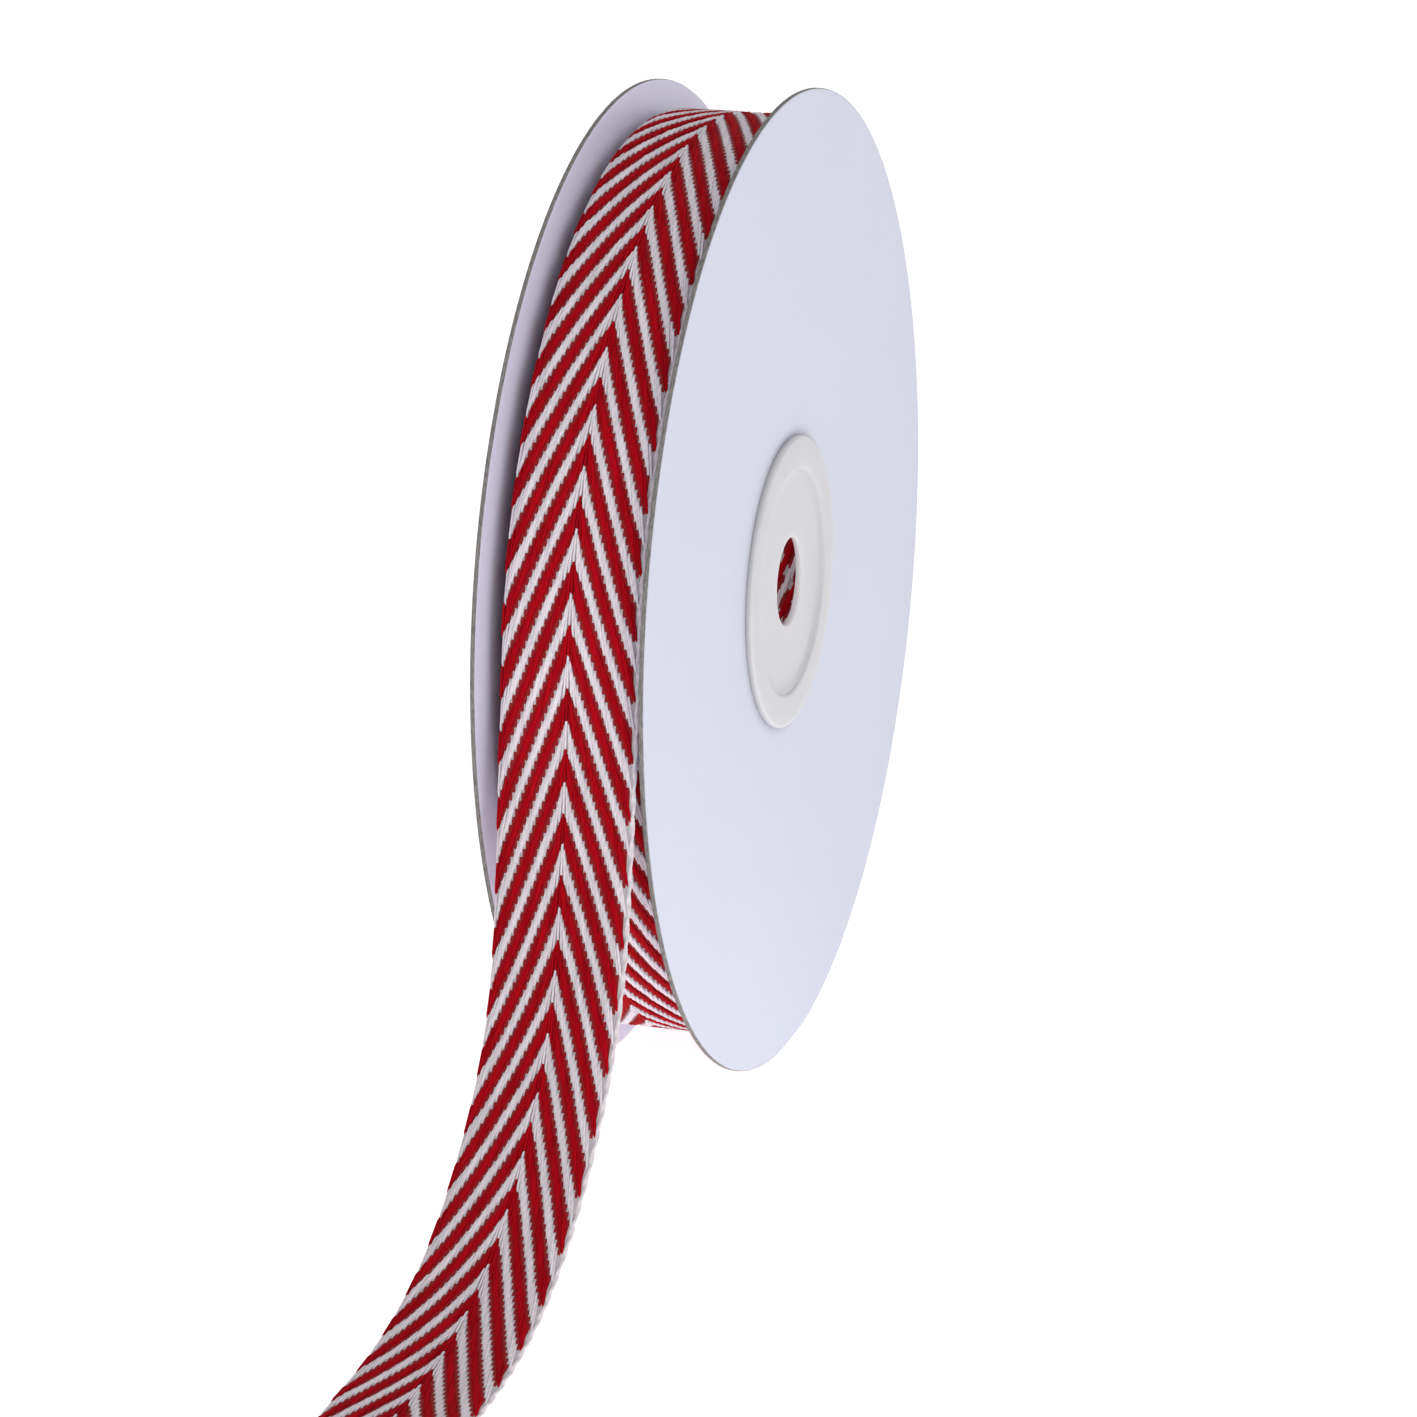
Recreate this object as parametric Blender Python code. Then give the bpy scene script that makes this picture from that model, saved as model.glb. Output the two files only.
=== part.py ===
"""A roll of herringbone tape on a reel of two card discs, with its loose end lying in front of it.

Metres, +Z up. The reel stands on the rims of its discs, its axis runs along X, and the tape comes
off the front, which faces -Y. The origin is on the ground, under the middle of the whole thing.
"""

import math

import bmesh
import bpy
from mathutils import Vector

MM = 0.001

# The two card discs
DISC_RADIUS = 52.5 * MM
DISC_THICKNESS = 0.6 * MM
DISC_SEGMENTS = 128
FLAT_SEGMENTS = 2          # segments on each side of the lowest point that are pressed flat
REEL_WIDTH = 18.0 * MM     # over the outer faces of the two discs, at their rims
DISC_DRAWN_IN = 0.6 * MM   # how much nearer to each other the plugs hold the discs in the middle
DISC_HOLE_RADIUS = 12.9 * MM

# The moulded plug in the middle of each disc
PLUG_RING_RADIUS = 15.7 * MM
PLUG_PROUD = 0.8 * MM      # how far the ring stands out from the disc's face beside it
PLUG_RING_BEVEL = 0.3 * MM
PLUG_DISH_RADIUS = 12.2 * MM
PLUG_DISH_DEPTH = 0.5 * MM
PLUG_DISH_SLOPE = 1.0 * MM # how much the dish narrows from its lip to its floor
PLUG_NECK_RADIUS = 12.5 * MM
PLUG_NECK_WALL = 1.0 * MM
PLUG_NECK_END = 6.4 * MM   # from the middle of the reel
PLUG_FLOOR = 0.8 * MM
PLUG_HOLE_RADIUS = 4.75 * MM
PLUG_HOLE_BEVEL = 0.15 * MM
PLUG_SEGMENTS = 72

# The tape: a 15 mm herringbone, wound loosely
TAPE_WIDTH = 14.4 * MM
TAPE_THICKNESS = 1.0 * MM
TAPE_SIDE = 0.25 * MM      # how far the winding sits to the right of the reel's middle
WINDING_RADIUS = 49.95 * MM
WINDING_PITCH = 1.4 * MM   # how much the radius drops in one turn
WINDING_BORE = 13.0 * MM
WINDING_SEGMENTS = 120
LEAVE_ANGLE = math.radians(4.6)  # above the axis, where the outer turn leaves the winding

# The loose end, a row for each station along it. Lean is away from the plumb line, heading is
# towards the left, and bank lifts the right edge, all in degrees.
TAIL_STATIONS = (
    {"along": 0.0, "lean": 4.6, "heading": 0.0, "bank": 0.0},
    {"along": 8.0, "lean": 15.0, "heading": -9.5, "bank": 9.0},
    {"along": 16.0, "lean": 23.5, "heading": -12.5, "bank": 14.0},
    {"along": 26.0, "lean": 29.0, "heading": -10.5, "bank": 15.0},
    {"along": 40.0, "lean": 40.0, "heading": -2.0, "bank": 10.0},
    {"along": 56.0, "lean": 52.0, "heading": 2.5, "bank": 5.0},
    {"along": 68.0, "lean": 72.0, "heading": 2.0, "bank": 2.0},
    {"along": 80.0, "lean": 87.0, "heading": 1.0, "bank": 0.5},
    {"along": 92.0, "lean": 90.0, "heading": -2.0, "bank": 0.0},
)
TAIL_LYING = 18.0 * MM     # flat on the ground past the last station
TAIL_STEP = 1.5 * MM
DROP_SAMPLES = 400         # for adding up how far the loose end drops
TAIL_EDGE = 0.3 * MM       # how far the selvedge is rounded off
CLEARANCE = 0.35 * MM      # between the loose end and the winding

STAND_HEIGHT = DISC_RADIUS * math.cos(FLAT_SEGMENTS * 2 * math.pi / DISC_SEGMENTS)

MATERIALS = {
    "disc_card": {"color": (0.70, 0.73, 0.82), "roughness": 0.55},
    "plug_plastic": {"color": (0.78, 0.78, 0.79), "roughness": 0.35},
    "wound_tape": {"color": (0.42, 0.05, 0.07), "roughness": 0.85},
    "loose_tape": {"color": (0.45, 0.04, 0.06), "roughness": 0.85},
}


def clear_scene():
    for obj in list(bpy.data.objects):
        bpy.data.objects.remove(obj, do_unlink=True)


def make_material(name):
    settings = MATERIALS[name]
    material = bpy.data.materials.new(name)
    material.use_nodes = True
    shader = material.node_tree.nodes["Principled BSDF"]
    shader.inputs["Base Color"].default_value = (*settings["color"], 1.0)
    shader.inputs["Roughness"].default_value = settings["roughness"]
    shader.inputs["Metallic"].default_value = 0.0
    return material


def finish_object(name, bm, material, parent, sharp_angle=35.0):
    """Turns a bmesh into an object under the reel's empty, with its faces pointing out."""
    bmesh.ops.recalc_face_normals(bm, faces=bm.faces)
    mesh = bpy.data.meshes.new(name)
    bm.to_mesh(mesh)
    bm.free()
    mesh.shade_smooth()
    mesh.set_sharp_from_angle(angle=math.radians(sharp_angle))
    mesh.materials.append(material)
    obj = bpy.data.objects.new(name, mesh)
    bpy.context.scene.collection.objects.link(obj)
    obj.parent = parent
    return obj


def spin_about_axis(profile, segments):
    """Spins a closed profile of (radius, distance along the axis) pairs about the X axis."""
    bm = bmesh.new()
    ring = [bm.verts.new((along, 0.0, -radius)) for radius, along in profile]
    edges = [bm.edges.new(pair) for pair in zip(ring, ring[1:] + ring[:1])]
    bmesh.ops.spin(
        bm, geom=ring + edges, cent=(0, 0, 0), axis=(1, 0, 0), angle=2 * math.pi,
        steps=segments, use_merge=True,
    )
    bmesh.ops.remove_doubles(bm, verts=bm.verts, dist=0.001 * MM)
    return bm


def make_disc(side, material, parent):
    """A card disc with a round hole, drawn in at its middle. Its rim is pressed flat where it stands."""
    rim = REEL_WIDTH / 2
    middle = rim - DISC_DRAWN_IN
    profile = [
        (DISC_HOLE_RADIUS, middle - DISC_THICKNESS),
        (DISC_RADIUS, rim - DISC_THICKNESS),
        (DISC_RADIUS, rim),
        (DISC_HOLE_RADIUS, middle),
    ]
    bm = spin_about_axis([(radius, side * along) for radius, along in profile], DISC_SEGMENTS)
    for vert in bm.verts:
        vert.co.z = max(vert.co.z, -STAND_HEIGHT)
    name = "card_disc_right" if side > 0 else "card_disc_left"
    return finish_object(name, bm, material, parent)


def make_plug(side, material, parent):
    """A moulded plug: a ring on the disc's face, a shallow dish with a hole, and a short neck."""
    face = REEL_WIDTH / 2 - DISC_DRAWN_IN
    ring_top = face + PLUG_PROUD
    ring_under = face + CLEARANCE
    dish_floor = ring_top - PLUG_DISH_DEPTH
    floor_inside = dish_floor - PLUG_FLOOR
    dish_floor_radius = PLUG_DISH_RADIUS - PLUG_DISH_SLOPE
    neck_inside = PLUG_NECK_RADIUS - PLUG_NECK_WALL
    profile = [
        (PLUG_NECK_RADIUS, PLUG_NECK_END),
        (PLUG_NECK_RADIUS, ring_under),
        (PLUG_RING_RADIUS, ring_under),
        (PLUG_RING_RADIUS, ring_top - PLUG_RING_BEVEL),
        (PLUG_RING_RADIUS - PLUG_RING_BEVEL, ring_top - 0.3 * PLUG_RING_BEVEL),
        (PLUG_RING_RADIUS - 2 * PLUG_RING_BEVEL, ring_top),
        (PLUG_DISH_RADIUS + 0.5 * PLUG_RING_BEVEL, ring_top),
        (PLUG_DISH_RADIUS, ring_top - 0.5 * PLUG_RING_BEVEL),
        (dish_floor_radius, dish_floor),
        (PLUG_HOLE_RADIUS + PLUG_HOLE_BEVEL, dish_floor),
        (PLUG_HOLE_RADIUS, dish_floor - PLUG_HOLE_BEVEL),
        (PLUG_HOLE_RADIUS, floor_inside),
        (neck_inside, floor_inside),
        (neck_inside, PLUG_NECK_END),
    ]
    bm = spin_about_axis([(radius, side * along) for radius, along in profile], PLUG_SEGMENTS)
    name = "hub_plug_right" if side > 0 else "hub_plug_left"
    return finish_object(name, bm, material, parent)


def winding_radius(turned):
    """Outer radius at an angle turned back from where the tape leaves, over the top of the roll."""
    return WINDING_RADIUS - WINDING_PITCH * turned / (2 * math.pi)


def around_axis(radius, turned):
    """Y and Z of a point at an angle turned back from where the tape leaves."""
    angle = LEAVE_ANGLE + turned
    return -radius * math.cos(angle), radius * math.sin(angle)


def make_winding(material, parent):
    """The wound tape as one ring. Its outside is a spiral that ends in a step, one turn high."""
    bm = bmesh.new()
    sides = (TAPE_SIDE - TAPE_WIDTH / 2, TAPE_SIDE + TAPE_WIDTH / 2)
    turns = [2 * math.pi * step / WINDING_SEGMENTS for step in range(WINDING_SEGMENTS + 1)]
    outer = [
        [bm.verts.new((x, *around_axis(winding_radius(turned), turned))) for turned in turns]
        for x in sides
    ]
    bore = [
        [bm.verts.new((x, *around_axis(WINDING_BORE, turned))) for turned in turns[:-1]]
        for x in sides
    ]
    for step in range(WINDING_SEGMENTS):
        after = (step + 1) % WINDING_SEGMENTS
        for rim, hole in zip(outer, bore):
            corners = [rim[step], rim[step + 1], hole[after], hole[step]]
            if step == 0:
                corners.append(rim[-1])  # the step's foot lies on this face's edge
            bm.faces.new(corners)
        bm.faces.new((outer[0][step], outer[0][step + 1], outer[1][step + 1], outer[1][step]))
        bm.faces.new((bore[0][step], bore[0][after], bore[1][after], bore[1][step]))
    bm.faces.new((outer[0][0], outer[0][-1], outer[1][-1], outer[1][0]))
    return finish_object("tape_winding", bm, material, parent)


def smooth_slope(rows, index, key):
    """Slope of one column at a row, from the rows beside it."""
    before = rows[max(index - 1, 0)]
    after = rows[min(index + 1, len(rows) - 1)]
    return (after[key] - before[key]) / (after["along"] - before["along"])


def tail_value(along, key):
    """One column of TAIL_STATIONS at a distance in millimetres, on a smooth curve through the rows."""
    rows = TAIL_STATIONS
    if along >= rows[-1]["along"]:
        return rows[-1][key]
    index = max(i for i in range(len(rows) - 1) if rows[i]["along"] <= along)
    low, high = rows[index], rows[index + 1]
    span = high["along"] - low["along"]
    t = (along - low["along"]) / span
    slope_low = smooth_slope(rows, index, key) * span
    slope_high = smooth_slope(rows, index + 1, key) * span if index + 2 < len(rows) else 0.0
    return (
        low[key] * (2 * t**3 - 3 * t**2 + 1)
        + slope_low * (t**3 - 2 * t**2 + t)
        + high[key] * (3 * t**2 - 2 * t**3)
        + slope_high * (t**3 - t**2)
    )


def tail_direction(along):
    """Which way the loose end runs at a distance in millimetres, as a unit vector."""
    lean = math.radians(tail_value(along, "lean"))
    heading = math.radians(tail_value(along, "heading"))
    level = math.sin(lean)
    return Vector((-level * math.sin(heading), -level * math.cos(heading), -math.cos(lean)))


def tail_sections():
    """Middle, width direction and face direction of the loose end, a row for each step along it.

    The stations are stretched a little, so that the bend ends exactly on the ground.
    """
    lowest = TAPE_THICKNESS / 2 - STAND_HEIGHT
    start = around_axis(WINDING_RADIUS - TAPE_THICKNESS / 2, 0.0)
    point = Vector((TAPE_SIDE, *start)) + tail_direction(0.0) * CLEARANCE
    bend = TAIL_STATIONS[-1]["along"]
    samples = [bend * (index + 0.5) / DROP_SAMPLES for index in range(DROP_SAMPLES)]
    drop = -sum(tail_direction(along).z for along in samples) / DROP_SAMPLES
    bend_length = (point.z - lowest) / drop
    steps = round((bend_length + TAIL_LYING) / TAIL_STEP)
    step = (bend_length + TAIL_LYING) / steps
    sections = []
    for index in range(steps + 1):
        along = min(index * step / bend_length, 1.0) * bend
        run = tail_direction(along)
        heading = math.radians(tail_value(along, "heading"))
        bank = math.radians(tail_value(along, "bank"))
        level = Vector((math.cos(heading), -math.sin(heading), 0.0))
        across = level * math.cos(bank) + run.cross(level) * math.sin(bank)
        middle = Vector((point.x, point.y, max(point.z, lowest)))
        sections.append((middle, across, run.cross(across)))
        half_way = min((index + 0.5) * step / bend_length, 1.0) * bend
        point += tail_direction(half_way) * step
    return sections


def make_tail(sections, material, parent):
    """The loose end as a thin strip with rounded selvedges and square-cut ends."""
    half, thick = TAPE_WIDTH / 2, TAPE_THICKNESS / 2
    outline = [
        (-half, 0.0),
        (TAIL_EDGE - half, thick),
        (0.0, thick),
        (half - TAIL_EDGE, thick),
        (half, 0.0),
        (half - TAIL_EDGE, -thick),
        (0.0, -thick),
        (TAIL_EDGE - half, -thick),
    ]
    bm = bmesh.new()
    loops = [
        [bm.verts.new(middle + across * wide + face * deep) for wide, deep in outline]
        for middle, across, face in sections
    ]
    for here, ahead in zip(loops, loops[1:]):
        for index in range(len(outline)):
            after = (index + 1) % len(outline)
            bm.faces.new((here[index], here[after], ahead[after], ahead[index]))
    bm.faces.new(loops[0])
    bm.faces.new(loops[-1])
    return finish_object("tape_tail", bm, material, parent)


def tail_reach(sections, way):
    """How far the loose end reaches from the reel's centre in a direction."""
    half = TAPE_WIDTH / 2
    return max((middle + across * wide).dot(way) for middle, across, _ in sections for wide in (-half, half))


def main():
    clear_scene()
    sections = tail_sections()
    front = tail_reach(sections, Vector((0.0, -1.0, 0.0)))
    right = tail_reach(sections, Vector((1.0, 0.0, 0.0)))
    left = REEL_WIDTH / 2 - DISC_DRAWN_IN + PLUG_PROUD
    reel = bpy.data.objects.new("reel", None)
    reel.location = ((left - right) / 2, (front - DISC_RADIUS) / 2, STAND_HEIGHT)
    bpy.context.scene.collection.objects.link(reel)
    card = make_material("disc_card")
    plastic = make_material("plug_plastic")
    for side in (-1, 1):
        make_disc(side, card, reel)
        make_plug(side, plastic, reel)
    make_winding(make_material("wound_tape"), reel)
    make_tail(sections, make_material("loose_tape"), reel)


main()
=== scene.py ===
import math

import bmesh
import bpy
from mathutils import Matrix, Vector, noise


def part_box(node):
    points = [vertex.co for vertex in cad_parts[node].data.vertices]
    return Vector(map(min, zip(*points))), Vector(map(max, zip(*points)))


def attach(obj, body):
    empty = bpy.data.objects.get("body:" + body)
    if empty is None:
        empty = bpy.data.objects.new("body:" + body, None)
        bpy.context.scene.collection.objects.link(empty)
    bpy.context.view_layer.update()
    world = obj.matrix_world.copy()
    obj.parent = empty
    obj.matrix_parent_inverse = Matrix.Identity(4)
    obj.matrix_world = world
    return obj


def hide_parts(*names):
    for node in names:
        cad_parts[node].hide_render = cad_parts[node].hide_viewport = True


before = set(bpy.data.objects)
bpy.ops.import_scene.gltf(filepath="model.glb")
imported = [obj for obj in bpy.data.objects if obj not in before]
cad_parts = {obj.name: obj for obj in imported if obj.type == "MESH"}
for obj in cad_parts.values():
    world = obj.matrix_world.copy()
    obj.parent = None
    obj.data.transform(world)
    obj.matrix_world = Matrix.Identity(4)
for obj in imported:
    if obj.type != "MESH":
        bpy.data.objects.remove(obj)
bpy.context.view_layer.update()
print("frame loaded:", ", ".join(sorted(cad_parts)))

mm = 0.001
fullTurn = 2 * math.pi

reel = {
    "discRadius": 52.5 * mm,
    "width": 18.0 * mm,  # over the outer faces of the two discs, at their rims
    "drawnIn": 0.6 * mm,  # how much nearer to each other the plugs hold the discs in the middle
}
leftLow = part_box("card_disc_left")[0]
rightLow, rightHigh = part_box("card_disc_right")
reelCentre = Vector((
    (leftLow.x + rightHigh.x) / 2, (rightLow.y + rightHigh.y) / 2, rightHigh.z - reel["discRadius"]
))

tape = {
    "width": 14.4 * mm,
    "thickness": 1.0 * mm,  # ground cloth and the yarns on both faces
    "groundHalf": 0.31 * mm,  # half the ground cloth's own thickness
    "side": 0.33 * mm,  # how far it sits to the right of the reel's middle
    "windingRadius": 49.95 * mm,
    "pitch": 1.4 * mm,  # how much the radius drops in one turn
    "leaveAngle": math.radians(4.6),  # above the axis, where the outer turn leaves the winding
    "tuckedUnder": 0.1,  # radians that the outer turn goes on past a full turn
    "turns": 25.26,  # from the leaving point to the tape's inner end
}

weave = {
    "repeat": 6.279 * mm,  # from one chevron to the next
    "whiteShare": 0.50,  # of a repeat
    "tip": 5.03 * mm,  # first white tip, down the tape from the leaving point
    "picks": 8,  # weft picks in a repeat: a chevron's leg drops one pick at each end
    "endPitch": 0.309 * mm,  # between neighbouring warp ends
    "ends": 44,  # striped ends; beyond them on the right is the white selvedge
    "middleEnd": 22,
    "slant": 0.20,  # how much a float leans along its chevron's leg
    "leanEnds": 3.0,  # ends over which the lean grows, from the middle and from the left edge
    "flatHalf": 5.6 * mm,  # from the middle to where the cloth starts to droop towards its selvedges
    "droopRadius": 2.6 * mm,
}


# building helpers

def openSocket(sockets, key):  # by place, or the first one in use that has this name
    if isinstance(key, int):
        return sockets[key]
    return next(socket for socket in sockets if socket.name == key and socket.enabled)


def addNode(tree, kind, inputs=None, **settings):
    made = tree.nodes.new(kind)
    for name, value in settings.items():
        setattr(made, name, value)
    for key, value in (inputs or {}).items():
        socket = openSocket(made.inputs, key)
        if isinstance(value, bpy.types.NodeSocket):
            tree.links.new(value, socket)
        else:
            socket.default_value = value
    return made


def maths(tree, operation, *values):
    return addNode(tree, "ShaderNodeMath", dict(enumerate(values)), operation=operation).outputs[0]


def vectors(tree, operation, *values, scale=None):
    made = addNode(tree, "ShaderNodeVectorMath", dict(enumerate(values)), operation=operation)
    if scale is not None:
        socket = openSocket(made.inputs, "Scale")
        if isinstance(scale, bpy.types.NodeSocket):
            tree.links.new(scale, socket)
        else:
            socket.default_value = scale
    return openSocket(made.outputs, "Value" if operation in ("LENGTH", "DOT_PRODUCT") else "Vector")


def newTree(name, kind, inputs, outputs):
    tree = bpy.data.node_groups.new(name, kind)
    for label, socketType in inputs:
        tree.interface.new_socket(label, in_out="INPUT", socket_type="NodeSocket" + socketType)
    for label, socketType in outputs:
        tree.interface.new_socket(label, in_out="OUTPUT", socket_type="NodeSocket" + socketType)
    return tree, addNode(tree, "NodeGroupInput").outputs


def addObject(name, mesh, material=None):
    obj = bpy.data.objects.new(name, mesh)
    bpy.context.scene.collection.objects.link(obj)
    if material:
        mesh.materials.append(material)
    return obj


def growPiece(name, mesh, tree, values):  # runs a node tree over a mesh and keeps a plain mesh
    obj = addObject(name, mesh)
    modifier = obj.modifiers.new("grow", "NODES")
    modifier.node_group = tree
    for item in tree.interface.items_tree:
        if item.item_type == "SOCKET" and item.in_out == "INPUT" and item.name in values:
            modifier[item.identifier] = values[item.name]
    grown = obj.evaluated_get(bpy.context.evaluated_depsgraph_get())
    obj.data = bpy.data.meshes.new_from_object(grown)
    obj.modifiers.clear()
    obj.data.name = name
    print(f"{name}: {len(obj.data.polygons)} faces")
    return obj


def joinBody(obj, slotName, *nodes):
    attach(obj, "root")
    if nodes:
        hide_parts(*nodes)


# the tape's path: a place is (middle, run, across), and run points to the loose end

def woundPlace(turned, depth):  # turned goes back from the leaving point, over the top of the roll
    radius = tape["windingRadius"] - tape["pitch"] * turned / fullTurn - depth
    angle = tape["leaveAngle"] + turned
    middle = reelCentre + Vector((tape["side"], -radius * math.cos(angle), radius * math.sin(angle)))
    return middle, Vector((0, -math.sin(angle), -math.cos(angle))), Vector((1, 0, 0))


def woundPlaces(first, last, depth, steps):
    return [woundPlace(first + (last - first) * i / steps, depth) for i in range(steps + 1)]


looseEnd = {
    "stations": (  # millimetres along it, then degrees: lean off the plumb line, heading to the left, bank
        (0, 4.6, 0, 0),
        (8, 15, -9.5, 9),
        (16, 23.5, -12.5, 14),
        (26, 29, -10.5, 15),
        (40, 40, -2, 10),
        (56, 52, 2.5, 5),
        (68, 72, 2, 2),
        (80, 87, 1, 0.5),
        (92, 90, -2, 0),
    ),
    "lying": 18.0 * mm,  # flat on the ground past the last station
    "clearance": 0.35 * mm,  # straight on from the winding before the first station
    "flatLength": 0.111,  # metres: its run, to the nearest millimetre
    "steps": 220,
    "dropSamples": 400,
}


def stationValue(along, column):  # a smooth curve through one column of the stations
    rows = looseEnd["stations"]
    if along >= rows[-1][0]:
        return rows[-1][column]
    index = max(i for i in range(len(rows) - 1) if rows[i][0] <= along)
    span = rows[index + 1][0] - rows[index][0]

    def slopeAt(i):
        before, after = rows[max(i - 1, 0)], rows[min(i + 1, len(rows) - 1)]
        return (after[column] - before[column]) / (after[0] - before[0]) * span

    t = (along - rows[index][0]) / span
    slopeHigh = slopeAt(index + 1) if index + 2 < len(rows) else 0.0
    return (
        rows[index][column] * (2 * t**3 - 3 * t**2 + 1)
        + slopeAt(index) * (t**3 - 2 * t**2 + t)
        + rows[index + 1][column] * (3 * t**2 - 2 * t**3)
        + slopeHigh * (t**3 - t**2)
    )


def looseRun(along):
    lean, heading = (math.radians(stationValue(along, column)) for column in (1, 2))
    away = math.sin(lean)
    return Vector((-away * math.sin(heading), -away * math.cos(heading), -math.cos(lean)))


def loosePlaces():
    leaving, run, across = woundPlace(0, tape["thickness"] / 2)
    places = [(leaving, run, across)]
    point = leaving + looseRun(0) * looseEnd["clearance"]
    lowest = tape["thickness"] / 2
    bend = looseEnd["stations"][-1][0]
    samples = looseEnd["dropSamples"]
    drop = -sum(looseRun(bend * (i + 0.5) / samples).z for i in range(samples)) / samples
    bendLength = (point.z - lowest) / drop  # the stations are stretched a little to end on the ground
    step = (bendLength + looseEnd["lying"]) / looseEnd["steps"]
    for i in range(looseEnd["steps"] + 1):
        along = min(i * step / bendLength, 1.0) * bend
        run = looseRun(along)
        heading, bank = (math.radians(stationValue(along, column)) for column in (2, 3))
        level = Vector((math.cos(heading), -math.sin(heading), 0.0))
        across = level * math.cos(bank) + run.cross(level) * math.sin(bank)
        places.append((Vector((point.x, point.y, max(point.z, lowest))), run, across))
        point += looseRun(min((i + 0.5) * step / bendLength, 1.0) * bend) * step
    return places


def pathLength(places):
    return sum((b[0] - a[0]).length for a, b in zip(places, places[1:]))


def makePathMesh(name, places):  # a line of points, each with its width direction
    mesh = bpy.data.meshes.new(name)
    mesh.from_pydata([p[0] for p in places], [(i, i + 1) for i in range(len(places) - 1)], [])
    widths = mesh.attributes.new("widthDirection", "FLOAT_VECTOR", "POINT")
    widths.data.foreach_set("vector", [value for p in places for value in p[2]])
    return mesh


# materials

def newMaterial(name, **shaderValues):
    material = bpy.data.materials.new(name)
    material.use_nodes = True
    tree = material.node_tree
    shader = tree.nodes["Principled BSDF"]
    for label, value in shaderValues.items():
        shader.inputs[label].default_value = value
    return material, tree, shader


def addGroup(tree, group, inputs):
    made = tree.nodes.new("ShaderNodeGroup")
    made.node_tree = group
    for key, value in inputs.items():
        if isinstance(value, bpy.types.NodeSocket):
            tree.links.new(value, made.inputs[key])
        else:
            made.inputs[key].default_value = value
    return made.outputs


def makePlyTwist():  # the fine twist of a spun yarn, with a little fluff, and painted shade along the twist and at a float's sides
    tree, put = newTree(
        "plyTwist", "ShaderNodeTree",
        [("Yarn Place", "Vector"), ("Object Place", "Vector"), ("Plies", "Float"), ("Twist", "Float"),
         ("Painted Side Shade", "Float")],
        [("Height", "Float"), ("Shade", "Float")],
    )
    place = addNode(tree, "ShaderNodeSeparateXYZ", {0: put["Yarn Place"]}).outputs
    around = maths(tree, "MULTIPLY", place["X"], put["Plies"])
    phase = maths(tree, "MULTIPLY_ADD", place["Y"], put["Twist"], around)
    wave = maths(tree, "SINE", maths(tree, "MULTIPLY", phase, fullTurn))
    fluff = addNode(
        tree, "ShaderNodeTexNoise",
        {"Vector": put["Object Place"], "Scale": 7000.0, "Detail": 3.0, "Roughness": 0.65},
    ).outputs[0]
    height = maths(tree, "MULTIPLY_ADD", wave, 0.35, fluff)
    # the twist wave darkens the colour along the grooves between the plies as painted shade; the fluff is
    # random tone
    shade = maths(tree, "MULTIPLY_ADD", wave, 0.06, maths(tree, "MULTIPLY_ADD", fluff, 0.35, 0.80))
    # 1 on top of a float, 0 at its sides; the colour is darkened towards the sides as painted shade
    crest = maths(tree, "SINE", maths(tree, "MULTIPLY", place["X"], fullTurn))
    paintedSideShade = addNode(tree, "ShaderNodeMapRange", {
        "Value": crest, "From Max": 0.95, "To Min": put["Painted Side Shade"], "To Max": 1.0,
    }).outputs[0]
    shade = maths(tree, "MULTIPLY", shade, paintedSideShade)
    addNode(tree, "NodeGroupOutput", {"Height": height, "Shade": shade})
    return tree


def makeChevronMask():  # 1 where the cloth shows white, from the place across and along the tape
    tree, put = newTree(
        "chevronMask", "ShaderNodeTree",
        [("Across", "Float"), ("Along", "Float"), ("Repeat", "Float"), ("Pick", "Float"),
         ("Tip", "Float"), ("White Share", "Float"), ("End Pitch", "Float"), ("Selvedge", "Float")],
        [("White", "Float")],
    )
    ends = maths(tree, "ROUND", maths(tree, "DIVIDE", put["Across"], put["End Pitch"]))
    drop = maths(tree, "MULTIPLY", maths(tree, "ABSOLUTE", ends), put["Pick"])
    along = maths(tree, "SUBTRACT", maths(tree, "SUBTRACT", put["Along"], put["Tip"]), drop)
    part = maths(tree, "FRACT", maths(tree, "DIVIDE", along, put["Repeat"]))
    white = maths(tree, "LESS_THAN", part, put["White Share"])
    selvedge = maths(tree, "GREATER_THAN", put["Across"], put["Selvedge"])
    addNode(tree, "NodeGroupOutput", {"White": maths(tree, "MAXIMUM", white, selvedge)})
    return tree


plyTwist = makePlyTwist()
chevronMask = makeChevronMask()


def makeYarnMaterial(name, colour, sheen, darkest, lightest, paintedSideShade):  # the last argument sets how dark the painted shade at a float's sides goes
    material, tree, shader = newMaterial(name, Roughness=0.8)
    shader.inputs["Sheen Weight"].default_value = sheen
    shader.inputs["Sheen Roughness"].default_value = 0.5
    shader.inputs["Specular IOR Level"].default_value = 0.06
    yarnPlace = addNode(tree, "ShaderNodeAttribute", attribute_name="yarnPlace").outputs["Vector"]
    objectPlace = addNode(tree, "ShaderNodeTexCoord").outputs["Object"]
    twist = addGroup(tree, plyTwist, {
        "Yarn Place": yarnPlace, "Object Place": objectPlace, "Plies": 2.0, "Twist": 0.9, "Painted Side Shade": paintedSideShade,
    })
    tone = addNode(tree, "ShaderNodeAttribute", attribute_name="yarnTone").outputs["Fac"]
    tone = addNode(
        tree, "ShaderNodeMapRange", {"Value": tone, "To Min": darkest, "To Max": lightest}
    ).outputs[0]
    shade = maths(tree, "MULTIPLY", tone, twist["Shade"])
    tinted = vectors(tree, "SCALE", colour, scale=shade)
    tree.links.new(tinted, shader.inputs["Base Color"])
    bump = addNode(
        tree, "ShaderNodeBump", {"Height": twist["Height"], "Strength": 0.6, "Distance": 0.04 * mm}
    )
    tree.links.new(bump.outputs[0], shader.inputs["Normal"])
    return material


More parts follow.
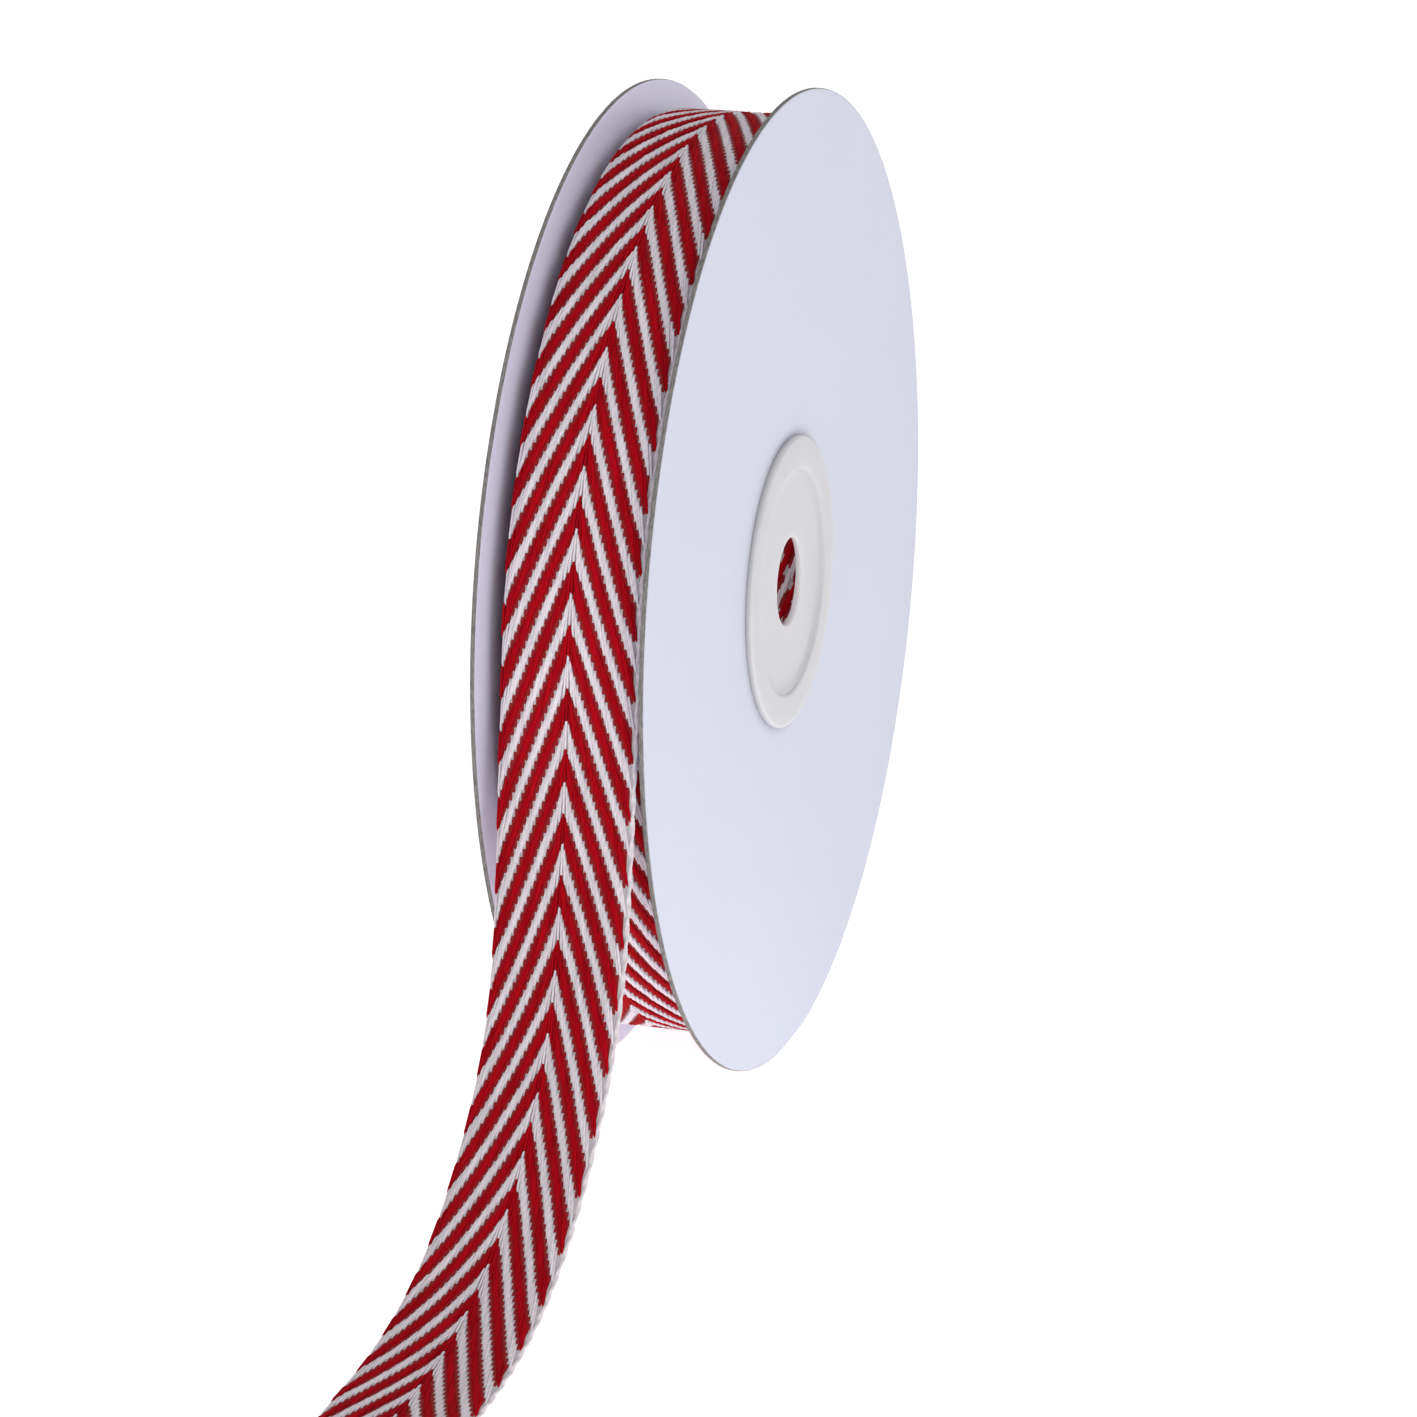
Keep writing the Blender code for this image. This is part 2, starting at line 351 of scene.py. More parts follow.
def makeGroundMaterial():
    material, tree, shader = newMaterial("groundClothPaintedShade", Roughness=0.9)
    across = addNode(tree, "ShaderNodeAttribute", attribute_name="clothAcross").outputs["Fac"]
    along = addNode(tree, "ShaderNodeAttribute", attribute_name="clothAlong").outputs["Fac"]
    margin = 0.4 * mm  # red shows a little way into the white stripes, between the ends of their floats
    white = addGroup(tree, chevronMask, {
        "Across": across, "Along": along, "Repeat": weave["repeat"], "Tip": weave["tip"] + margin,
        "Pick": weave["repeat"] / weave["picks"],
        "White Share": weave["whiteShare"] - 2 * margin / weave["repeat"],
        "End Pitch": weave["endPitch"], "Selvedge": 6.65 * mm,
    })["White"]
    objectPlace = addNode(tree, "ShaderNodeTexCoord").outputs["Object"]
    fluff = addNode(
        tree, "ShaderNodeTexNoise", {"Vector": objectPlace, "Scale": 5000.0, "Detail": 3.0}
    ).outputs[0]
    # the ground's red and white are darker than the yarns': painted shade where this cloth shows between
    # the floats and at the wound turns
    colour = addNode(
        tree, "ShaderNodeMix", {"Factor": white, "A": (0.25, 0.002, 0.006, 1), "B": (0.46, 0.43, 0.45, 1)},
        data_type="RGBA",
    )
    tree.links.new(openSocket(colour.outputs, "Result"), shader.inputs["Base Color"])
    bump = addNode(tree, "ShaderNodeBump", {"Height": fluff, "Strength": 0.5, "Distance": 0.05 * mm})
    tree.links.new(bump.outputs[0], shader.inputs["Normal"])
    return material


def makeCardMaterial():
    material, tree, shader = newMaterial("coatedCard", Roughness=0.5)
    objectPlace = addNode(tree, "ShaderNodeTexCoord").outputs["Object"]
    edge = addNode(tree, "ShaderNodeAttribute", attribute_name="cutEdge").outputs["Fac"]
    clouds = addNode(
        tree, "ShaderNodeTexNoise", {"Vector": objectPlace, "Scale": 60.0, "Detail": 4.0}
    ).outputs[0]
    face = addNode(tree, "ShaderNodeMix", {
        "Factor": clouds, "A": (0.54, 0.555, 0.665, 1), "B": (0.565, 0.58, 0.685, 1),
    }, data_type="RGBA")
    # the inside faces of the discs get a lighter, bluer card colour: painted light on faces that the other
    # disc and the winding shade
    inside = addNode(tree, "ShaderNodeAttribute", attribute_name="paintedLightInside").outputs["Fac"]
    face = addNode(tree, "ShaderNodeMix", {
        "Factor": inside, "A": openSocket(face.outputs, "Result"), "B": (0.79, 0.79, 0.97, 1),
    }, data_type="RGBA")
    stretched = addNode(tree, "ShaderNodeMapping", {"Vector": objectPlace, "Scale": (7000, 1400, 1400)})
    fibres = addNode(tree, "ShaderNodeTexNoise", {
        "Vector": stretched.outputs[0], "Scale": 1.0, "Detail": 4.0, "Roughness": 0.7,
    }).outputs[0]
    pulp = addNode(tree, "ShaderNodeValToRGB", {"Fac": fibres})
    ramp = pulp.color_ramp.elements
    ramp[0].position, ramp[0].color = 0.32, (0.10, 0.093, 0.088, 1)
    ramp[1].position, ramp[1].color = 0.72, (0.31, 0.295, 0.28, 1)
    colour = addNode(
        tree, "ShaderNodeMix",
        {"Factor": edge, "A": openSocket(face.outputs, "Result"), "B": pulp.outputs[0]}, data_type="RGBA",
    )
    tree.links.new(openSocket(colour.outputs, "Result"), shader.inputs["Base Color"])
    rough = addNode(tree, "ShaderNodeMapRange", {"Value": edge, "To Min": 0.42, "To Max": 0.9}).outputs[0]
    tree.links.new(rough, shader.inputs["Roughness"])
    peel = addNode(
        tree, "ShaderNodeTexNoise", {"Vector": objectPlace, "Scale": 900.0, "Detail": 3.0}
    ).outputs[0]
    height = maths(tree, "MULTIPLY_ADD", edge, maths(tree, "MULTIPLY", fibres, 6.0), peel)
    bump = addNode(tree, "ShaderNodeBump", {"Height": height, "Strength": 0.25, "Distance": 0.05 * mm})
    tree.links.new(bump.outputs[0], shader.inputs["Normal"])
    return material


def makePlugMaterial():
    material, tree, shader = newMaterial("mouldedPlastic", Roughness=0.32)
    shader.inputs["Subsurface Weight"].default_value = 0.9
    shader.inputs["Subsurface Radius"].default_value = (1.0, 0.95, 0.95)
    shader.inputs["Subsurface Scale"].default_value = 1.5 * mm
    objectPlace = addNode(tree, "ShaderNodeTexCoord").outputs["Object"]
    clouds = addNode(
        tree, "ShaderNodeTexNoise", {"Vector": objectPlace, "Scale": 150.0, "Detail": 3.0}
    ).outputs[0]
    colour = addNode(tree, "ShaderNodeMix", {
        "Factor": clouds, "A": (0.50, 0.495, 0.515, 1), "B": (0.535, 0.53, 0.545, 1),
    }, data_type="RGBA")
    tree.links.new(openSocket(colour.outputs, "Result"), shader.inputs["Base Color"])
    fine = addNode(
        tree, "ShaderNodeTexNoise", {"Vector": objectPlace, "Scale": 2500.0, "Detail": 2.0}
    ).outputs[0]
    bump = addNode(tree, "ShaderNodeBump", {"Height": fine, "Strength": 0.12, "Distance": 0.02 * mm})
    tree.links.new(bump.outputs[0], shader.inputs["Normal"])
    return material


redYarn = makeYarnMaterial(
    "redYarn", (0.41, 0.001, 0.008), sheen=0.0, darkest=0.76, lightest=1.12, paintedSideShade=0.36
)
# the white yarn's pink tint is partly the red fibres in it and partly painted reflection from the red yarns
whiteYarn = makeYarnMaterial(
    "whiteYarn", (0.77, 0.70, 0.75), sheen=0.1, darkest=0.88, lightest=1.06, paintedSideShade=0.36
)
whiteCord = makeYarnMaterial(
    "whiteCord", (0.70, 0.64, 0.67), sheen=0.1, darkest=1.0, lightest=1.0, paintedSideShade=1.0
)
groundClothPaintedShade = makeGroundMaterial()
coatedCard = makeCardMaterial()
mouldedPlastic = makePlugMaterial()
print("materials made")


# the ground cloth under the yarns

def droop(across, height):  # where a point of the flat cloth lies once its selvedges droop
    over = max(abs(across) - weave["flatHalf"], 0.0)
    bend = over / weave["droopRadius"]
    swing = weave["droopRadius"] + height
    reach = abs(across) - over + swing * math.sin(bend)
    return math.copysign(reach, across), swing * math.cos(bend) - weave["droopRadius"]


def sweepCloth(name, places, outline, alongStart, material):
    bm = bmesh.new()
    loops = []
    drooped = [droop(wide, high) for wide, high in outline]
    for middle, run, across in places:
        face = run.cross(across)
        loops.append([bm.verts.new(middle + across * wide + face * high) for wide, high in drooped])
    count = len(outline)
    for here, ahead in zip(loops, loops[1:]):
        for i in range(count):
            bm.faces.new((here[i], here[(i + 1) % count], ahead[(i + 1) % count], ahead[i]))
    bm.faces.new(loops[0])
    bm.faces.new(loops[-1])
    bmesh.ops.recalc_face_normals(bm, faces=bm.faces)
    mesh = bpy.data.meshes.new(name)
    bm.to_mesh(mesh)
    bm.free()
    acrossValues, alongValues, along = [], [], alongStart
    for i, place in enumerate(places):
        along += (place[0] - places[i - 1][0]).length if i else 0.0
        acrossValues += [wide for wide, _ in outline]
        alongValues += [along] * count
    mesh.attributes.new("clothAcross", "FLOAT", "POINT").data.foreach_set("value", acrossValues)
    mesh.attributes.new("clothAlong", "FLOAT", "POINT").data.foreach_set("value", alongValues)
    mesh.shade_smooth()
    mesh.set_sharp_from_angle(angle=math.radians(50))
    return addObject(name, mesh, material)


def clothOutline(top, bottom, half, columns=32):  # a flat strip whose selvedges are rounded
    edge = (top - bottom) / 2
    middle = (top + bottom) / 2
    inner = half - edge
    across = [-inner + 2 * inner * i / columns for i in range(columns + 1)]
    bend = [math.pi / 2 - math.pi * i / 6 for i in range(1, 6)]
    right = [(inner + edge * math.cos(a), middle + edge * math.sin(a)) for a in bend]
    left = [(-inner - edge * math.cos(a), middle - edge * math.sin(a)) for a in bend]
    return [(x, top) for x in across] + right + [(x, bottom) for x in reversed(across)] + left


outerTurn = {"steps": 420, "bottom": -0.80 * mm, "half": 7.0 * mm}
turnPlaces = woundPlaces(fullTurn + tape["tuckedUnder"], 0.0, tape["thickness"] / 2, outerTurn["steps"])
turnLength = pathLength(turnPlaces)
turnCloth = sweepCloth(
    "outerTurn", turnPlaces, clothOutline(tape["groundHalf"], outerTurn["bottom"], outerTurn["half"]),
    -turnLength, groundClothPaintedShade,
)
looseEndPlaces = loosePlaces()
looseLength = pathLength(looseEndPlaces)
looseCloth = sweepCloth(
    "looseEnd", looseEndPlaces, clothOutline(tape["groundHalf"], -tape["groundHalf"], outerTurn["half"]),
    0.0, groundClothPaintedShade,
)
print(f"ground cloth: a turn of {turnLength / mm:.1f} mm, a loose end of {looseLength / mm:.1f} mm")


# the wound turns under the outer one

winding = {
    "stepsPerTurn": 90,
    "layer": 1.28 * mm,  # thickness of a wound layer
    "corner": 0.3 * mm,
    "width": 14.2 * mm,
    "wander": 0.16 * mm,  # how far the turns stray sideways
    "startsAfter": 0.02,  # radians past the end of the outer turn
    "seed": 3.0,
}


def makeSpiralTree():
    tree, put = newTree(
        "spiralWinding", "GeometryNodeTree",
        [("Geometry", "Geometry"), ("Steps", "Int"), ("Steps Per Turn", "Float"), ("First Turn", "Float"),
         ("Outer Radius", "Float"), ("Pitch", "Float"), ("Leave Angle", "Float"), ("Centre", "Vector"),
         ("Width", "Float"), ("Layer", "Float"), ("Corner", "Float"), ("Wander", "Float"),
         ("Seed", "Float"), ("Cloth", "Material")],
        [("Geometry", "Geometry")],
    )
    line = addNode(tree, "GeometryNodeMeshLine", {"Count": put["Steps"]}).outputs[0]
    index = addNode(tree, "GeometryNodeInputIndex").outputs[0]
    turns = maths(tree, "ADD", maths(tree, "DIVIDE", index, put["Steps Per Turn"]), put["First Turn"])
    angle = maths(tree, "MULTIPLY_ADD", turns, fullTurn, put["Leave Angle"])
    depth = maths(tree, "MULTIPLY", put["Pitch"], maths(tree, "ADD", turns, 0.5))
    radius = maths(tree, "SUBTRACT", put["Outer Radius"], depth)
    stray = addNode(
        tree, "ShaderNodeTexNoise",
        {"W": maths(tree, "ADD", turns, put["Seed"]), "Scale": 1.3, "Detail": 2.0}, noise_dimensions="1D",
    )
    aside = maths(tree, "MULTIPLY", maths(tree, "SUBTRACT", stray.outputs[0], 0.5), put["Wander"])
    back = maths(tree, "MULTIPLY", radius, maths(tree, "MULTIPLY", maths(tree, "COSINE", angle), -1.0))
    up = maths(tree, "MULTIPLY", radius, maths(tree, "SINE", angle))
    place = addNode(tree, "ShaderNodeCombineXYZ", {"X": aside, "Y": back, "Z": up}).outputs[0]
    spiral = addNode(
        tree, "GeometryNodeSetPosition",
        {"Geometry": line, "Position": vectors(tree, "ADD", place, put["Centre"])},
    ).outputs[0]
    path = addNode(tree, "GeometryNodeMeshToCurve", {"Mesh": spiral}).outputs[0]
    length = addNode(tree, "GeometryNodeSplineParameter").outputs["Length"]
    path = addNode(
        tree, "GeometryNodeStoreNamedAttribute", {"Geometry": path, "Name": "clothAlong", "Value": length},
        data_type="FLOAT", domain="POINT",
    ).outputs[0]
    flat = addNode(
        tree, "GeometryNodeCurvePrimitiveQuadrilateral", {"Width": put["Width"], "Height": put["Layer"]}
    ).outputs[0]
    rounded = addNode(
        tree, "GeometryNodeFilletCurve", {"Curve": flat, "Radius": put["Corner"], "Count": 2}, mode="POLY"
    ).outputs[0]
    strip = addNode(
        tree, "GeometryNodeCurveToMesh", {"Curve": path, "Profile Curve": rounded, "Fill Caps": True}
    ).outputs[0]
    position = addNode(tree, "GeometryNodeInputPosition").outputs[0]
    position = addNode(tree, "ShaderNodeSeparateXYZ", {0: position})
    centre = addNode(tree, "ShaderNodeSeparateXYZ", {0: put["Centre"]})
    across = maths(tree, "SUBTRACT", position.outputs["X"], centre.outputs["X"])
    strip = addNode(tree, "GeometryNodeStoreNamedAttribute", {
        "Geometry": strip, "Name": "clothAcross", "Value": across,
    }, data_type="FLOAT", domain="POINT").outputs[0]
    real = addNode(tree, "GeometryNodeRealizeInstances", {"Geometry": strip}).outputs[0]
    dressed = addNode(
        tree, "GeometryNodeSetMaterial", {"Geometry": real, "Material": put["Cloth"]}
    ).outputs[0]
    addNode(tree, "NodeGroupOutput", {"Geometry": dressed})
    return tree


firstTurn = 1 + (tape["tuckedUnder"] + winding["startsAfter"]) / fullTurn
woundTurns = growPiece("woundTurns", bpy.data.meshes.new("woundTurns"), makeSpiralTree(), {
    "Steps": round((tape["turns"] - firstTurn) * winding["stepsPerTurn"]) + 1,
    "Steps Per Turn": float(winding["stepsPerTurn"]),
    "First Turn": firstTurn,
    "Outer Radius": tape["windingRadius"],
    "Pitch": tape["pitch"],
    "Leave Angle": tape["leaveAngle"],
    "Centre": reelCentre + Vector((tape["side"], 0, 0)),
    "Width": winding["width"],
    "Layer": winding["layer"],
    "Corner": winding["corner"],
    "Wander": winding["wander"],
    "Seed": winding["seed"],
    "Cloth": groundClothPaintedShade,
})


# the yarns that float on the cloth

yarn = {
    "width": 0.33 * mm,
    "height": 0.38 * mm,
    "lift": 0.31 * mm,  # from the middle of the cloth to the middle of a float
    "dive": 0.12 * mm,  # how far its two ends go down into the cloth
    "tuck": 0.65 * mm,  # added to a float's length for its ends
    "swell": {"red": 0.04 * mm, "white": -0.06 * mm},  # how far the left edge bulges or draws in
    "stray": (0.03 * mm, 0.13 * mm, 0.03 * mm),  # how far a float may lie off: aside, along, up
    "shortest": 0.25,  # of a float's length; a shorter piece of one at the cut end is left out
}


def makeYarnMesh(name, length):
    stations = (  # place along it, width, drop of its middle
        (-0.5, 0.50, 1.0), (-0.44, 0.85, 0.45), (-0.32, 1.0, 0.0),
        (0.32, 1.0, 0.0), (0.44, 0.85, 0.45), (0.5, 0.50, 1.0),
    )
    sides = 6
    points, faces, places = [], [], []
    for along, width, drop in stations:
        for i in range(sides):
            angle = fullTurn * i / sides
            points.append((
                math.cos(angle) * yarn["width"] / 2 * width,
                along * length,
                math.sin(angle) * yarn["height"] / 2 * width - drop * yarn["dive"],
            ))
    for row in range(len(stations) - 1):
        for i in range(sides):
            j = (i + 1) % sides
            faces.append((row * sides + i, (row + 1) * sides + i, (row + 1) * sides + j, row * sides + j))
            low, high = (stations[row + k][0] * length / mm for k in (0, 1))
            places += [(i / sides, low), (i / sides, high), ((i + 1) / sides, high), ((i + 1) / sides, low)]
    last = (len(stations) - 1) * sides
    faces.append(tuple(range(sides)))
    faces.append(tuple(last + i for i in reversed(range(sides))))
    for end in (0, -1):
        places += [(0.5, stations[end][0] * length / mm)] * sides
    mesh = bpy.data.meshes.new(name)
    mesh.from_pydata(points, [], faces)
    layer = mesh.uv_layers.new(name="yarnPlace")
    layer.data.foreach_set("uv", [value for place in places for value in place])
    mesh.shade_smooth()
    return addObject(name, mesh)


def makeFloatTree():
    tree, put = newTree(
        "yarnFloats", "GeometryNodeTree",
        [("Geometry", "Geometry"), ("Yarn", "Object"), ("Yarn Length", "Float"), ("Ends", "Int"),
         ("Middle End", "Int"), ("End Pitch", "Float"), ("Repeats", "Int"),
         ("Repeat", "Float"), ("Pick", "Float"), ("Shift", "Float"), ("Lift", "Float"), ("Slant", "Float"),
         ("Flat Half", "Float"), ("Droop Radius", "Float"), ("Swell", "Float"), ("Side", "Float"),
         ("Lowest", "Float"), ("Highest", "Float"), ("Cut", "Float"), ("Seed", "Int"),
         ("Finish", "Material")],
        [("Geometry", "Geometry")],
    )
    path = addNode(tree, "GeometryNodeMeshToCurve", {"Mesh": put["Geometry"]}).outputs[0]
    points = addNode(
        tree, "GeometryNodePoints", {"Count": maths(tree, "MULTIPLY", put["Ends"], put["Repeats"])}
    ).outputs[0]
    index = addNode(tree, "GeometryNodeInputIndex").outputs[0]
    end = maths(tree, "MODULO", index, put["Ends"])
    row = maths(tree, "FLOOR", maths(tree, "DIVIDE", maths(tree, "ADD", index, 0.5), put["Ends"]))
    step = maths(tree, "SUBTRACT", end, put["Middle End"])
    drop = maths(tree, "MULTIPLY", maths(tree, "ABSOLUTE", step), put["Pick"])
    along = maths(tree, "ADD", maths(tree, "MULTIPLY_ADD", row, put["Repeat"], put["Shift"]), drop)
    jitter = addNode(
        tree, "FunctionNodeRandomValue",
        {"Min": [-far for far in yarn["stray"]], "Max": yarn["stray"], "ID": index, "Seed": put["Seed"]},
        data_type="FLOAT_VECTOR",
    ).outputs[0]
    stray = addNode(tree, "ShaderNodeSeparateXYZ", {0: jitter}).outputs
    along = maths(tree, "ADD", along, stray["Y"])
    half = maths(tree, "MULTIPLY", put["Yarn Length"], 0.5)
    low = maths(tree, "SUBTRACT", along, half)
    high = maths(tree, "MINIMUM", maths(tree, "ADD", along, half), put["Cut"])
    middle = maths(tree, "MULTIPLY", maths(tree, "ADD", low, high), 0.5)
    stretch = maths(tree, "DIVIDE", maths(tree, "SUBTRACT", high, low), put["Yarn Length"])
    inside = maths(
        tree, "MULTIPLY", maths(tree, "GREATER_THAN", along, put["Lowest"]),
        maths(tree, "LESS_THAN", along, put["Highest"]),
    )
    shown = maths(tree, "MULTIPLY", inside, maths(tree, "GREATER_THAN", stretch, yarn["shortest"]))
    width = addNode(
        tree, "GeometryNodeInputNamedAttribute", {"Name": "widthDirection"}, data_type="FLOAT_VECTOR"
    )
    sample = addNode(
        tree, "GeometryNodeSampleCurve",
        {"Curves": path, "Value": width.outputs[0], "Length": middle},
        data_type="FLOAT_VECTOR", mode="LENGTH",
    ).outputs
    across, run = openSocket(sample, "Value"), openSocket(sample, "Tangent")
    face = vectors(tree, "CROSS_PRODUCT", run, across)
    # the selvedges droop, so a float there moves down and tips outwards, as in droop()
    flatAside = maths(tree, "MULTIPLY_ADD", step, put["End Pitch"], stray["X"])
    left = maths(tree, "MAXIMUM", maths(tree, "SUBTRACT", 2.0, end), 0.0)
    flatAside = maths(tree, "SUBTRACT", flatAside, maths(tree, "MULTIPLY", left, put["Swell"]))
    way = maths(tree, "SIGN", flatAside)
    over = maths(tree, "SUBTRACT", maths(tree, "ABSOLUTE", flatAside), put["Flat Half"])
    bend = maths(tree, "MAXIMUM", maths(tree, "DIVIDE", over, put["Droop Radius"]), 0.0)
    level = maths(tree, "MULTIPLY", maths(tree, "ADD", put["Lift"], stray["Z"]), put["Side"])
    swing = maths(tree, "ADD", put["Droop Radius"], level)
    reach = maths(tree, "ADD", maths(tree, "MULTIPLY", maths(tree, "SINE", bend), swing),
                  maths(tree, "MINIMUM", maths(tree, "ABSOLUTE", flatAside), put["Flat Half"]))
    upright = maths(tree, "COSINE", bend)
    tipped = maths(tree, "MULTIPLY", maths(tree, "SINE", bend), way)
    height = maths(tree, "SUBTRACT", maths(tree, "MULTIPLY", upright, swing), put["Droop Radius"])
    facing = vectors(
        tree, "ADD", vectors(tree, "SCALE", face, scale=upright),
        vectors(tree, "SCALE", across, scale=tipped),
    )
    facing = vectors(tree, "SCALE", facing, scale=put["Side"])
    turn = maths(tree, "DIVIDE", step, weave["leanEnds"])
    turn = maths(tree, "MAXIMUM", maths(tree, "MINIMUM", turn, 1.0), -1.0)
    # floats beside the left edge lie straighter
    fromEdge = maths(tree, "DIVIDE", maths(tree, "ADD", end, 0.5), weave["leanEnds"])
    fromEdge = maths(tree, "MINIMUM", fromEdge, 1.0)
    lean = maths(tree, "MULTIPLY", maths(tree, "MULTIPLY", turn, fromEdge), put["Slant"])
    heading = vectors(tree, "ADD", run, vectors(tree, "SCALE", across, scale=lean))
    turned = addNode(
        tree, "FunctionNodeAxesToRotation", {"Primary Axis": facing, "Secondary Axis": heading},
        primary_axis="Z", secondary_axis="Y",
    ).outputs[0]
    offset = vectors(tree, "SCALE", across, scale=maths(tree, "MULTIPLY", reach, way))
    raised = vectors(tree, "SCALE", face, scale=height)
    place = vectors(tree, "ADD", openSocket(sample, "Position"), vectors(tree, "ADD", offset, raised))
    spots = addNode(tree, "GeometryNodeSetPosition", {"Geometry": points, "Position": place}).outputs[0]
    shape = addNode(tree, "GeometryNodeObjectInfo", {"Object": put["Yarn"]})
    scale = addNode(tree, "ShaderNodeCombineXYZ", {"X": 1.0, "Y": stretch, "Z": 1.0}).outputs[0]
    floats = addNode(tree, "GeometryNodeInstanceOnPoints", {
        "Points": spots, "Selection": shown, "Instance": openSocket(shape.outputs, "Geometry"),
        "Rotation": turned, "Scale": scale,
    }).outputs[0]
    tone = addNode(
        tree, "FunctionNodeRandomValue", {"Min": 0.0, "Max": 1.0, "Seed": put["Seed"]}, data_type="FLOAT"
    )
    floats = addNode(
        tree, "GeometryNodeStoreNamedAttribute",
        {"Geometry": floats, "Name": "yarnTone", "Value": openSocket(tone.outputs, "Value")},
        data_type="FLOAT", domain="INSTANCE",
    ).outputs[0]
    real = addNode(tree, "GeometryNodeRealizeInstances", {"Geometry": floats}).outputs[0]
    dressed = addNode(
        tree, "GeometryNodeSetMaterial", {"Geometry": real, "Material": put["Finish"]}
    ).outputs[0]
    addNode(tree, "NodeGroupOutput", {"Geometry": dressed})
    return tree


floatTree = makeFloatTree()
tipLength = weave["repeat"] * weave["whiteShare"]
restLength = weave["repeat"] - tipLength
tipFloat = makeYarnMesh("tipFloat", tipLength + yarn["tuck"])
restFloat = makeYarnMesh("restFloat", restLength + yarn["tuck"])


def layYarns(name, places, alongStart, white, side, seed, lowest=0.0, highest=None, cut=None):
    # white floats run from a chevron's tip and red ones fill the rest of the repeat
    # on the back the colours change places
    length = pathLength(places)
    fromTip = white == (side > 0)
    visible, before = (tipLength, 0.0) if fromTip else (restLength, tipLength)
    lead = math.ceil(weave["ends"] / weave["picks"] / 2) + 1
    shift = (weave["tip"] + before + visible / 2 - alongStart) % weave["repeat"] - lead * weave["repeat"]
    return growPiece(name, makePathMesh(name, places), floatTree, {
        "Yarn": tipFloat if fromTip else restFloat,
        "Yarn Length": visible + yarn["tuck"],
        "Ends": weave["ends"],
        "Middle End": weave["middleEnd"],
        "End Pitch": weave["endPitch"],
        "Repeats": math.ceil(length / weave["repeat"]) + lead + 1,
        "Repeat": weave["repeat"],
        "Pick": weave["repeat"] / weave["picks"],
        "Shift": shift,
        "Lift": yarn["lift"],
        "Slant": weave["slant"],
        "Flat Half": weave["flatHalf"],
        "Droop Radius": weave["droopRadius"],
        "Swell": yarn["swell"]["white" if white else "red"] / 2,
        "Side": float(side),
        "Lowest": lowest,
        "Highest": length if highest is None else highest,
        "Cut": length * 2 if cut is None else cut,
        "Seed": seed,
        "Finish": whiteYarn if white else redYarn,
    })


turnYarns = [
    layYarns("turnRedYarns", turnPlaces, -turnLength, False, 1, 21),
    layYarns("turnWhiteYarns", turnPlaces, -turnLength, True, 1, 22),
]
looseYarns = [
    layYarns("looseRedYarns", looseEndPlaces, 0.0, False, 1, 23, cut=looseLength),
    layYarns("looseWhiteYarns", looseEndPlaces, 0.0, True, 1, 24, cut=looseLength),
    layYarns("looseBackRedYarns", looseEndPlaces, 0.0, False, -1, 25, cut=looseLength),
    layYarns("looseBackWhiteYarns", looseEndPlaces, 0.0, True, -1, 26, cut=looseLength),
]
bore = {"steps": 150, "lowest": 2.0 * mm}
borePlaces = woundPlaces(
    tape["turns"] * fullTurn, (tape["turns"] - 1) * fullTurn,
    (tape["pitch"] + winding["layer"]) / 2 - yarn["lift"], bore["steps"],
)
boreYarns = [
    layYarns("boreRedYarns", borePlaces, 0.0, False, -1, 27, lowest=bore["lowest"]),
    layYarns("boreWhiteYarns", borePlaces, 0.0, True, -1, 28, lowest=bore["lowest"]),
]
print("yarns laid")


# the white cord along the right selvedge

selvedge = {
    "aside": 7.0 * mm,  # from the cloth's middle to the middle of the cord
    "sunk": 0.22 * mm,
    "radius": 0.25 * mm,  # of each of its two strands
    "apart": 0.06 * mm,  # from the cord's middle to a strand's
    "twist": 5.2 * mm,  # length of a full twist
    "profilePoints": 14,
    "waist": 0.72,  # half the cord's thickness between its strands, as a share of a strand's radius
    "belly": 0.35,  # added to that over each strand
}


